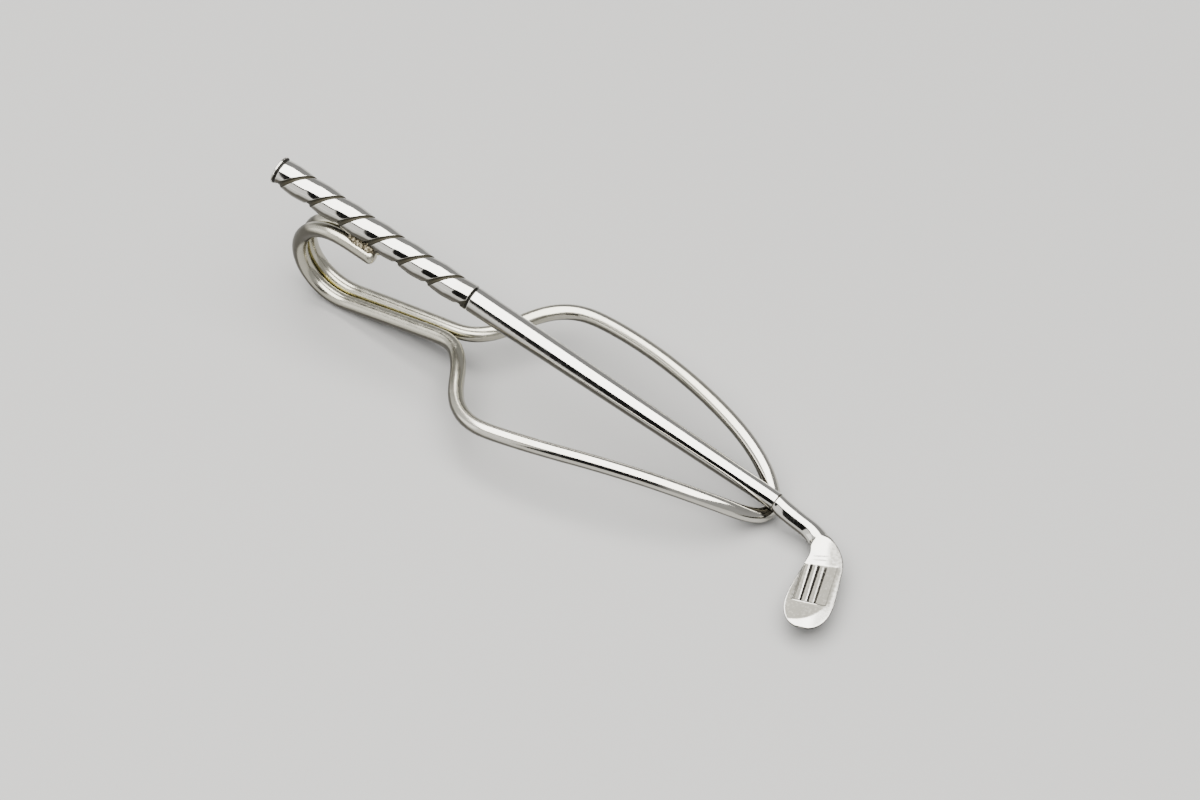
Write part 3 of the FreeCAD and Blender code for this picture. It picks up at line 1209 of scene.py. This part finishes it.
    def centreline(self) -> np.ndarray:
        """The whole wire's middle: straight, arc, then a parabola round each corner of the loop, relaxed.

        Returns:
            Evenly spaced points from the near leg's cut end to the far leg's.
        """
        corners = np.concatenate([self.loop_corners(Side.NEAR), self.loop_corners(Side.FAR)[::-1]])
        joints = (corners[:-1] + corners[1:]) / 2
        joints[0], joints[-1] = corners[0], corners[-1]
        t = np.linspace(0, 1, self.corner_points, endpoint=False)[None, :, None]
        loop = parabola(joints[:-1, None], corners[1:-1, None], joints[1:, None], t)
        near, far = self.leg_and_bend(Side.NEAR), self.leg_and_bend(Side.FAR)[::-1]
        return self.relaxed(np.concatenate([near[:-1], loop.reshape(-1, 3), far]))

    def relaxed(self, path: np.ndarray) -> np.ndarray:
        """A path with even spacing and eased curvature, by a moving bell-shaped mean.

        Args:
            path: Points in order.

        Returns:
            Evenly spaced points.
        """
        along = lengths_along(path)
        path = read_at(np.arange(0, along[-1], self.spacing), along, path)
        reach = int(self.relax_reach * self.relax / self.spacing)
        steps = np.arange(1, reach + 1)[:, None]
        before = path[0] + (path[0] - path[1]) * steps[::-1]
        after = path[-1] + (path[-1] - path[-2]) * steps
        bell = np.exp(-0.5 * (np.arange(-reach, reach + 1) * self.spacing / self.relax) ** 2)
        padded = np.concatenate([before, path, after])
        return np.stack([np.convolve(axis, bell / bell.sum(), "valid") for axis in padded.T], axis=-1)

    def surface(self, club: ClubFrame) -> Surface:
        """The wire as rings along its centreline, with rounded cut ends, flat where it rests on the floor.

        Args:
            club: The club's frame.

        Returns:
            The surface, with the crease between the paired wires and the dull stretches marked.
        """
        s = self.sizes
        path = self.centreline()
        length = self.spacing * (len(path) - 1)
        ends = self.cut_round * (1 - np.cos(np.linspace(0, math.pi / 2, self.cut_rings)))
        middle = np.linspace(self.cut_round, length - self.cut_round, int(length * self.rings_per_mm))[1:-1]
        station = np.concatenate([ends, middle, length - ends[::-1]])
        centre = read_at(station, np.linspace(0, length, len(path)), path)
        radius = s.wire_radius - quarter_round(np.minimum(station, length - station), self.cut_round)
        x, y = centre[:, :1], centre[:, 1:2]
        flat = smoothstep(self.arm_corner_reach - self.upright_lead, self.loop_start, x)
        upright = (1 - flat) * np.array([0, 1.0, 0]) + flat * np.array([0, 0, 1.0])
        rings = round_rings(centre, upright, radius, self.columns)
        outward = unit(rings - centre[:, None])
        facing = outward[..., 1] * np.sign(-s.pair_offset - y)
        paired = smoothstep(self.pair_fade, -self.pair_fade, x - self.pair_end)
        dull_arm = smoothstep(*self.arm_dull_run, x - self.loop_start)
        dull_far = smoothstep(*self.far_dull_sides, y) * smoothstep(*self.far_dull_run, s.shaft_end - x)
        # The paired mark carries tarnish and a painted reflection of one wire in the other.
        marks = {Mark.PAIRED: smoothstep(*self.crease_facing, facing) * paired,
                 Mark.SATIN: np.maximum(dull_arm, self.far_dull * dull_far) + 0 * facing}
        placed = club.place(rings)
        placed[..., 2] = np.maximum(placed[..., 2], 0)
        return Surface(placed, marks=marks, unshaded_way=self.unshaded_way)

    def dress(self, shop: Workshop) -> None:
        """Make the wire and bake its transform into its mesh.

        Args:
            shop: The workshop.
        """
        nodes = ("near_wire_leg", "far_wire_leg", "near_spring_bend", "far_spring_bend", "spring_loop")
        piece = shop.piece("spring_wire", self.surface(shop.club), WireFinish(), Slot.WIRE, nodes)
        way = np.array(self.blend_way)
        middle = np.array([0, -self.sizes.pair_offset, 0])
        tuple(shop.club.place(way * self.blend_start + middle))
        tuple(shop.club.place(way * self.blend_end + middle))
        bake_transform(piece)


@dataclass
class LegSolder:
    """Rough solder that fills the corner between the grip and the two wire legs."""

    sizes: ClipSizes
    length: float = 2.9
    end_power: float = 6.0
    end_root: float = 3.0
    grain: float = 0.03
    grain_size: float = 0.16
    seed: int = 7
    rows: int = 90
    columns: int = 96

    def surface(self, club: ClubFrame) -> Surface:
        """A lumpy bar: an oval section carried along the legs, drawn in at its ends and roughened.

        Args:
            club: The club's frame.

        Returns:
            The surface.
        """
        s = self.sizes
        near_edge = -s.half_pair - s.pair_offset - s.wire_radius / 2
        far_edge = s.half_pair - s.pair_offset + s.wire_radius
        low, high = s.wire_radius / 2 - s.leg_drop, -s.grip_radius / 2
        middle_y, middle_z = (near_edge + far_edge) / 2, (low + high) / 2
        share = np.linspace(-1, 1, self.rows)[1:-1, None]
        taper = (1 - np.abs(share) ** self.end_power) ** (1 / self.end_root)
        angle = round_angles(self.columns)[None, :]
        x = s.bend_reach + s.leg_length / 2 + share * self.length / 2 + 0 * angle
        y = middle_y + (far_edge - near_edge) / 2 * taper * np.cos(angle)
        z = middle_z + (high - low) / 2 * taper * np.sin(angle)
        grid = np.stack([x, y, z], axis=-1)
        centre = np.stack([x, np.full_like(x, middle_y), np.full_like(x, middle_z)], axis=-1)
        lumps = ripples(grid, self.grain_size, self.seed)[..., None] * self.grain * taper[..., None]
        return Surface(club.place(grid + unit(grid - centre) * (lumps - self.grain)))

    def dress(self, shop: Workshop) -> None:
        """Make the solder."""
        surface = self.surface(shop.club)
        shop.club_piece("leg_solder_rough", surface, SolderFinish(), Slot.SOLDER, "leg_solder")


@dataclass
class ClubHead:
    """Iron head: hosel, elbow and blade as one surface of cross-sections carried from the mouth to the toe.

    Each section is a superellipse with its own top, back and side reaches, square to the path. On the
    face, u runs from the elbow towards the toe and v towards the sole.
    """

    sizes: ClipSizes
    elbow_shift: float = 0.468
    elbow_sink: float = 0.08
    hosel_turn: float = 2.4
    blade_turn: float = 3.4
    path_points: int = 200
    blade_length: float = 9.59
    face_height: float = 1.9
    width_stations: Row = (0.0, 0.8, 1.6, 3.2, 4.4, 5.4, 6.3, 7.2, 8.1, 10.6, 14.6)
    sole_reaches: Row = (0.735, 0.765, 0.765, 0.753, 0.841, 1.004, 1.362, 1.694, 1.778, 1.92, 1.92)
    top_reaches: Row = (0.735, 0.765, 0.765, 0.753, 0.841, 0.92, 0.995, 1.195, 1.368, 1.84, 1.84)
    bows: Row = (0.0, -0.11, -0.14, -0.123, -0.028, 0.008, 0.029, 0.0, 0.0, 0.0, 0.0)
    hosel_radius: float = 0.78
    filed_angle: float = 51.0
    filed_spread: float = 20.0
    filed_depth: float = 0.05
    filed_start: Range = (0.0, 0.5)
    toe_start_sole: float = 6.5
    toe_start_top: float = 6.9
    toe_power: float = 2.4
    rim_power: float = 14.0
    rim_drop: float = 0.18
    flat_start: float = 4.6
    flat_end: float = 6.1
    back_depth: float = 1.86
    back_power: float = 1.2
    toe_back_round: float = 3.4
    face_shares: Range = (0.999, 0.98)
    panel_start: float = 3.3
    panel_end: float = 7.1
    panel_top_side: float = -1.45
    panel_sole_side: float = 1.3
    panel_depth: float = 0.05
    panel_edge: float = 0.07
    panel_lean: float = 0.06
    score_places: Row = (-1.285, -0.715, -0.145, 0.425)
    score_strengths: Row = (0.5, 1.0, 1.0, 0.75)
    score_width: float = 0.16
    score_start_share: float = 1.25
    score_narrowing: float = 0.1
    score_depth: float = 0.12
    score_wall: Range = (1.25, 0.45)
    score_rise: Range = (0.0, 0.15)
    score_fall: Range = (0.02, -0.12)
    lip_polish: float = 0.7
    lip_outer: Range = (-2.9, -2.2)
    lip_inner: Range = (-1.0, -1.4)
    burr_height: float = 0.035
    burr_place: float = 0.04
    burr_width: float = 0.06
    burr_polish: float = 0.9
    burr_top: Range = (0.0, 0.2)
    burr_sole: Range = (0.75, 0.6)
    neck_satin: float = 0.6
    neck_sides: Range = (0.1, 0.8)
    neck_run: Range = (0.6, 1.4)
    smudge_satin: float = 0.45
    smudge_reaches: Row = (2.45, 2.85)
    smudge_width: float = 0.07
    smudge_top: Range = (-0.9, -0.3)
    smudge_sole: Range = (1.2, 0.5)
    satin_centre_reach: float = 6.3
    satin_centre_side: float = -1.4
    satin_radius: float = 2.75
    satin_fade: Range = (-0.1, 0.15)
    toe_polish_run: Range = (0.0, 1.5)
    toe_sole_loss: float = 0.4
    toe_sole_sides: Range = (0.2, 1.2)
    sole_polish: float = 0.6
    sole_polish_sides: Range = (1.4, 1.75)
    rim_polish: float = 0.8
    rim_polish_shares: Range = (0.91, 0.97)
    mouth_oxide: Range = (0.08, 0.03)
    ruled_half: float = 0.95
    ruled_share: float = 0.7
    ruled_columns: int = 110
    rim_columns: int = 32
    back_columns: int = 60
    mouth_rows: int = 6
    hosel_rows: int = 40
    neck_rows: int = 60
    panel_rows: int = 140
    panel_margin: float = 0.3
    toe_rows: int = 70
    tip_gap: float = 0.002
    edge_ease: float = 0.05

    def path(self) -> tuple[np.ndarray, np.ndarray]:
        """The head's middle line over the floor: hosel axis, a parabola round the elbow, blade axis.

        The hosel leans a little out of the shaft's line, so the elbow is shifted and sunk from its end.

        Returns:
            Points in millimetres from the floor under the line's end, and each one's length from the mouth.
        """
        s = self.sizes
        lie = math.radians(s.lie_angle)
        shaft = np.array([math.cos(s.rest_tilt), 0, -math.sin(s.rest_tilt)])
        line_end = np.array([0, 0, s.elbow_height])
        mouth = line_end - shaft * s.hosel_length
        toe = line_end + self.blade_length * np.array([math.cos(lie), -math.sin(lie), 0])
        elbow = line_end - np.array([0, self.elbow_shift, self.elbow_sink])
        hosel, blade = unit(elbow - mouth), unit(toe - elbow)
        turn_start, turn_end = elbow - hosel * self.hosel_turn, elbow + blade * self.blade_turn
        t = np.linspace(0, 1, self.path_points)[:, None]
        line = np.concatenate([
            between(mouth, turn_start, t[:-1]),
            parabola(turn_start, elbow, turn_end, t),
            between(turn_end, toe, t[1:]),
        ])
        return line, lengths_along(line)

    def stations(self, length: float) -> np.ndarray:
        """Lengths from the mouth at which sections stand: close on the panel and bunched at the toe.

        Args:
            length: The path's length.

        Returns:
            The lengths, rising.
        """
        panel_from = length - self.blade_length + self.panel_start - self.panel_margin
        panel_to = length - self.blade_length + self.panel_end + self.panel_margin
        mouth = 1 - np.cos(np.linspace(0, math.pi / 2, self.mouth_rows))
        toe = np.sin(np.linspace(0, math.pi / 2, self.toe_rows))
        return np.concatenate([
            self.edge_ease * mouth,
            np.linspace(self.edge_ease, self.flat_start, self.hosel_rows)[1:-1],
            np.linspace(self.flat_start, panel_from, self.neck_rows, endpoint=False),
            np.linspace(panel_from, panel_to, self.panel_rows, endpoint=False),
            between(panel_to, length - self.tip_gap, toe),
        ])

    def score_lines(self, u: np.ndarray, v: np.ndarray) -> tuple[np.ndarray, np.ndarray]:
        """The score lines, which narrow towards the toe, and the bright lip beside each.

        Args:
            u: Place from the elbow towards the toe.
            v: Place towards the sole.

        Returns:
            Share of each line's depth and share of each lip's polish.
        """
        rise = smoothstep(*self.score_rise, u - self.panel_start)
        ends = rise * smoothstep(*self.score_fall, u - self.panel_end)
        narrowing = self.score_start_share - self.score_narrowing * (u - self.panel_start)
        half_line = self.score_width / 2 * narrowing
        lines, lips = np.zeros_like(u), np.zeros_like(u)
        for place, strength in zip(self.score_places, self.score_strengths):
            across = (v - place) / half_line
            lines = np.maximum(lines, smoothstep(*self.score_wall, np.abs(across)) * ends * strength)
            beside = smoothstep(*self.lip_outer, across) * smoothstep(*self.lip_inner, across)
            lips = np.maximum(lips, self.lip_polish * beside * ends * strength)
        return lines, lips

    def relief(self, u: np.ndarray, v: np.ndarray) -> tuple[np.ndarray, np.ndarray, np.ndarray]:
        """Face relief, a sunk panel with score lines and a burr at its end, and how satin the face is.

        Args:
            u: Place from the elbow towards the toe.
            v: Place towards the sole.

        Returns:
            Depth under the face, satin share and score share.
        """
        edge = self.panel_edge
        leaning = u + self.panel_lean * v
        past_start = smoothstep(-edge, edge, leaning - self.panel_start)
        inside = (past_start * smoothstep(edge, -edge, u - self.panel_end)
                  * smoothstep(edge, -edge, v - self.panel_sole_side)
                  * smoothstep(-edge, edge, v - self.panel_top_side))
        lines, lips = self.score_lines(u, v)
        burr = np.exp(-((u - self.panel_end - self.burr_place) / self.burr_width) ** 2)
        burr = burr * smoothstep(*self.burr_sole, v) * smoothstep(*self.burr_top, v - self.panel_top_side)
        depth = self.panel_depth * inside + self.score_depth * lines - self.burr_height * burr
        satin = past_start * (1 - self.burr_polish * burr) * (1 - lips)
        neck = smoothstep(*self.neck_sides, v) * smoothstep(*self.neck_run, u)
        satin = np.maximum(satin, self.neck_satin * neck)
        smudge_sides = smoothstep(*self.smudge_top, v) * smoothstep(*self.smudge_sole, v)
        for place in self.smudge_reaches:
            smudge = np.exp(-((leaning - place) / self.smudge_width) ** 2) * smudge_sides
            satin = np.maximum(satin, self.smudge_satin * smudge)
        return depth, satin, lines

    def polish(self, u: np.ndarray, v: np.ndarray, share: np.ndarray) -> np.ndarray:
        """Share of the face's satin that is polished away: a crescent at the toe, the sole and the rim.

        Args:
            u: Place from the elbow towards the toe.
            v: Place towards the sole.
            share: Share of the section's half-width.

        Returns:
            The share, from 0 to 1.
        """
        from_centre = np.hypot(u - self.satin_centre_reach, v - self.satin_centre_side)
        crescent = (smoothstep(*self.satin_fade, from_centre - self.satin_radius)
                    * smoothstep(*self.toe_polish_run, u - self.satin_centre_reach)
                    * (1 - self.toe_sole_loss * smoothstep(*self.toe_sole_sides, v)))
        sole = self.sole_polish * smoothstep(*self.sole_polish_sides, v)
        rim = self.rim_polish * smoothstep(*self.rim_polish_shares, share)
        return np.maximum(np.maximum(crescent, sole), rim)

    def surface(self, club: ClubFrame) -> Surface:
        """The head's sections from the mouth to the toe, with the socket for the shaft's tenon.

        A section's face rises over its middle by a height times a superellipse of the share of its
        half-width, and its back falls by a depth in the same way. Both powers pass from a circle's on
        the hosel to the blade's own.

        Args:
            club: The club's frame.

        Returns:
            The surface, with satin, score lines and the mouth's oxide marked.
        """
        line, along = self.path()
        station = self.stations(along[-1])
        way = unit(read_at(station, along, unit(np.gradient(line, axis=0))))
        sole = unit(np.cross(np.array([0, 0, 1.0]), way))
        up = np.cross(way, sole)
        bow = cubic_through(station, self.width_stations, self.bows)
        centre = read_at(station, along, line) + bow[:, None] * sole
        reach = station - along[-1] + self.blade_length
        ease = quarter_round(station, self.edge_ease)
        sole_reach = cubic_through(station, self.width_stations, self.sole_reaches)
        sole_reach = sole_reach * self.toe(reach, self.toe_start_sole) - ease
        top_reach = cubic_through(station, self.width_stations, self.top_reaches)
        top_reach = top_reach * self.toe(reach, self.toe_start_top) - ease
        flat = smoothstep(self.flat_start, self.flat_end, station)
        centre[:, 2] = between(centre[:, 2], self.face_height - self.rim_drop, flat)
        rim_left = self.end_round(reach, self.rim_drop, CIRCLE_POWER)
        height = between(self.hosel_radius, self.rim_drop, flat) * rim_left - ease
        back_left = self.end_round(reach, self.toe_back_round, self.back_power)
        depth = between(self.hosel_radius, self.back_depth, flat) * back_left - ease
        power = between(CIRCLE_POWER, self.rim_power, flat)[:, None]
        back_power = between(CIRCLE_POWER, self.back_power, flat)[:, None]
        face = self.face_places(sole_reach, top_reach)
        back = np.cos(np.linspace(math.pi, TAU, self.back_columns + 1))[None, 1:-1]
        back = back * np.where(back > 0, sole_reach[:, None], top_reach[:, None])
        lateral = np.concatenate([face, back], axis=1)
        share = np.abs(lateral) / np.where(lateral > 0, sole_reach[:, None], top_reach[:, None])
        face_share, back_share = np.split(share, [face.shape[1]], axis=1)
        rise = height[:, None] * self.section(face_share, power)
        fall = -depth[:, None] * self.section(back_share, back_power)
        lift = np.concatenate([rise, fall], axis=1)
        round_hosel = smoothstep(*self.filed_start, station) * (1 - flat)
        left = 1 - self.filed(lateral, lift) * round_hosel[:, None]
        across = (left * lateral)[..., None] * sole[:, None]
        grid = centre[:, None] + across + (left * lift)[..., None] * up[:, None]
        u = reach[:, None] + 0 * lateral
        cut, satin, lines = self.relief(u, lateral)
        facing = np.concatenate([smoothstep(*self.face_shares, face_share), 0 * back_share], axis=1)
        grid[..., 2] = np.maximum(grid[..., 2] - cut * facing, 0)
        marks = {Mark.SATIN: satin * facing * (1 - self.polish(u, lateral, share)),
                 Mark.SCORE: lines * facing,
                 Mark.OXIDE: smoothstep(*self.mouth_oxide, station)[:, None] + 0 * u}
        return self.with_socket(grid, marks, centre, way, club)

    def filed(self, lateral: np.ndarray, lift: np.ndarray) -> np.ndarray:
        """Share of the radius that filing takes off the hosel's near flank: a bell about one angle."""
        off = np.degrees(np.arctan2(-lateral, lift)) - self.filed_angle
        return self.filed_depth / self.hosel_radius * np.exp(-0.5 * (off / self.filed_spread) ** 2)

    def face_places(self, sole_reach: np.ndarray, top_reach: np.ndarray) -> np.ndarray:
        """Places of the face's columns towards the sole: ruled in the middle, bunched at both rims.

        Args:
            sole_reach: Each section's reach on the sole's side.
            top_reach: Each section's reach on the topline's side.

        Returns:
            One row of places per section, from the sole's rim to the topline's.
        """
        ruled = np.linspace(1, -1, self.ruled_columns)[None, :]
        bunched = np.sin(np.linspace(0, math.pi / 2, self.rim_columns))[None, 1:]
        sole_inner = np.minimum(self.ruled_half, self.ruled_share * sole_reach)[:, None]
        top_inner = np.minimum(self.ruled_half, self.ruled_share * top_reach)[:, None]
        to_sole = between(sole_inner, sole_reach[:, None], bunched[:, ::-1])
        to_top = -between(top_inner, top_reach[:, None], bunched)
        middle = ruled * np.where(ruled > 0, sole_inner, top_inner)
        return np.concatenate([to_sole, middle, to_top], axis=1)

    def toe(self, reach: np.ndarray, start: float) -> np.ndarray:
        """Share of the blade's width left towards the toe: a superellipse from start to the tip."""
        share = np.clip((reach - start) / (self.blade_length - start), 0, 1)
        return (1 - share ** self.toe_power) ** (1 / self.toe_power)

    def end_round(self, reach: np.ndarray, round_length: float, power: float) -> np.ndarray:
        """Share of a height left near the tip: a superellipse over a rounding length."""
        share = np.clip(1 - (self.blade_length - reach) / round_length, 0, 1)
        return (1 - share ** power) ** (1 / power)

    @staticmethod
    def section(share: np.ndarray, power: np.ndarray) -> np.ndarray:
        """Height of a superellipse at a share of its half-width."""
        return np.clip(1 - np.abs(share) ** power, 0, 1) ** (1 / power)

    def with_socket(self, grid: np.ndarray, marks: dict[Mark, np.ndarray], centre: np.ndarray,
                    way: np.ndarray, club: ClubFrame) -> Surface:
        """Add the socket's two rings ahead of the mouth and lay the head where the elbow is.

        Args:
            grid: The outside's points over the floor under the elbow.
            marks: The outside's marks.
            centre: Middle points of the sections.
            way: Directions of the sections.
            club: The club's frame.

        Returns:
            The whole surface.
        """
        s = self.sizes
        spokes = unit(grid[0] - centre[0]) * (s.tenon_radius + s.fit_clearance)
        mouth = centre[0] + spokes
        bottom = mouth + way[0] * (s.tenon_length + s.fit_clearance)
        grid = np.concatenate([bottom[None], mouth[None], grid])
        marks = {mark: np.concatenate([values[:1], values[:1], values]) for mark, values in marks.items()}
        elbow = club.place(np.array([s.elbow_reach, 0, 0]))
        foot = np.array([elbow[0], elbow[1], elbow[2] - s.elbow_height * MM])
        return Surface(grid * MM + foot, marks=marks)

    def dress(self, shop: Workshop) -> None:
        """Make the head."""
        shop.club_piece("club_head_cast", self.surface(shop.club), HeadFinish(), Slot.HEAD, "club_head")


@dataclass
class Studio:
    """Pale floor, an overhead soft box, a side card, a dim room and the camera.

    Lengths are in metres and angles in degrees. A room range is in parts of a unit direction.
    """

    floor_half: float = 1.5
    floor_gap: float = 0.00002
    floor_colour: Colour = (0.24, 0.24, 0.2375, 1)
    floor_roughness: float = 0.45
    floor_shine: float = 0.3
    lamp_tint: Way = (1.0, 0.985, 0.955)
    box_height: float = 0.6
    box_length: float = 1.0
    box_width: float = 1.0
    box_shift: float = -0.07
    box_radiance: float = 10.4
    card_distance: float = 0.2
    card_edge: float = -0.044
    card_length: float = 0.4
    card_height: float = 0.155
    card_radiance: float = 1.5
    room_dark: float = 0.02
    room_far: float = 0.55
    room_left: float = 1.5
    room_right: float = 0.7
    far_range: Range = (-0.1, 0.5)
    left_range: Range = (-0.5, -0.6)
    right_range: Range = (0.22, 0.32)
    camera_azimuth: float = 34.05
    camera_elevation: float = 50.0
    camera_distance: float = 0.4
    camera_lens: float = 148.8
    camera_clip: float = 0.01
    look_at: Way = (0.00104, 0.00324, 0.0)

    def floor(self) -> None:
        """A plain pale floor."""
        h, z = self.floor_half, -self.floor_gap
        mesh = bpy.data.meshes.new("studio_floor")
        mesh.from_pydata([(-h, -h, z), (h, -h, z), (h, h, z), (-h, h, z)], [], [(0, 1, 2, 3)])
        material = bpy.data.materials.new("pale floor")
        material.use_nodes = True
        ShaderTree(material.node_tree).principled({
            "Base Color": self.floor_colour,
            "Roughness": self.floor_roughness,
            "Specular IOR Level": self.floor_shine,
        })
        mesh.materials.append(material)
        floor = linked("studio_floor", mesh)

    def panel(self, name: str, length: float, width: float, radiance: float) -> bpy.types.Object:
        """A soft rectangular light that shines down from the origin.

        Args:
            name: The light's name.
            length: Its size along X.
            width: Its size along Y.
            radiance: How bright it looks.

        Returns:
            The light, to be put in its place.
        """
        lamp = bpy.data.lights.new(name, "AREA")
        lamp.shape = "RECTANGLE"
        lamp.size = length
        lamp.size_y = width
        lamp.energy = radiance * math.pi * length * width
        lamp.color = self.lamp_tint
        return linked(name, lamp)

    def soft_box(self) -> None:
        """A large soft box overhead."""
        box = self.panel("soft_box", self.box_length, self.box_width, self.box_radiance)
        box.location = (0, self.box_shift, self.box_height)

    def side_card(self) -> None:
        """A white card that stands on the floor in front, on the left, and faces the clip."""
        card = self.panel("side_card", self.card_length, self.card_height, self.card_radiance)
        card.location = (self.card_edge - self.card_length / 2, -self.card_distance, self.card_height / 2)
        card.rotation_euler = (math.pi / 2, 0, 0)
        card.visible_camera = False

    def room(self) -> None:
        """A dim room: grey on the far side, dark in front, with a light wall on either hand."""
        world = bpy.data.worlds.new("studio_room")
        world.use_nodes = True
        bpy.context.scene.world = world
        tree = ShaderTree(world.node_tree)
        way = tree.node("ShaderNodeTexCoord").outputs["Generated"]
        parts = tree.node("ShaderNodeSeparateXYZ", None, {"Vector": way})
        x, y = (Signal(tree, parts.outputs[k]) for k in range(2))
        far = y.step(*self.far_range)
        walls = self.room_left * x.step(*self.left_range) + self.room_right * x.step(*self.right_range)
        level = self.room_dark + self.room_far * far + walls * (1 - far)
        back = tree.node("ShaderNodeBackground", None, {"Strength": level})
        tree.node("ShaderNodeOutputWorld", None, {"Surface": back.outputs["Background"]})

    def camera(self) -> None:
        """The camera at the photograph's angle."""
        azimuth, elevation = math.radians(self.camera_azimuth), math.radians(self.camera_elevation)
        away = Vector((math.sin(azimuth) * math.cos(elevation), -math.cos(azimuth) * math.cos(elevation),
                       math.sin(elevation)))
        lens = bpy.data.cameras.new("camera")
        lens.lens = self.camera_lens
        lens.clip_start = self.camera_clip
        camera = linked("camera", lens)
        camera.location = Vector(self.look_at) + away * self.camera_distance
        camera.rotation_euler = away.to_track_quat("Z", "Y").to_euler()
        bpy.context.scene.camera = camera

    def build(self) -> None:
        """Set the whole studio up."""
        self.floor()
        self.soft_box()
        self.side_card()
        self.room()
        self.camera()


def main() -> None:
    """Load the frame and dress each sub-assembly."""
    logging.basicConfig(level=logging.INFO, format="%(name)s: %(message)s")
    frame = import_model()
    sizes = ClipSizes()
    shop = Workshop(ClubFrame.from_hinge(sizes, frame["joints"][0]["pos_m"]))
    for part in (TurnedParts, GripSleeve, SpringWire, LegSolder, ClubHead):
        part(sizes).dress(shop)
    Studio().build()


if __name__ == "__main__":
    main()
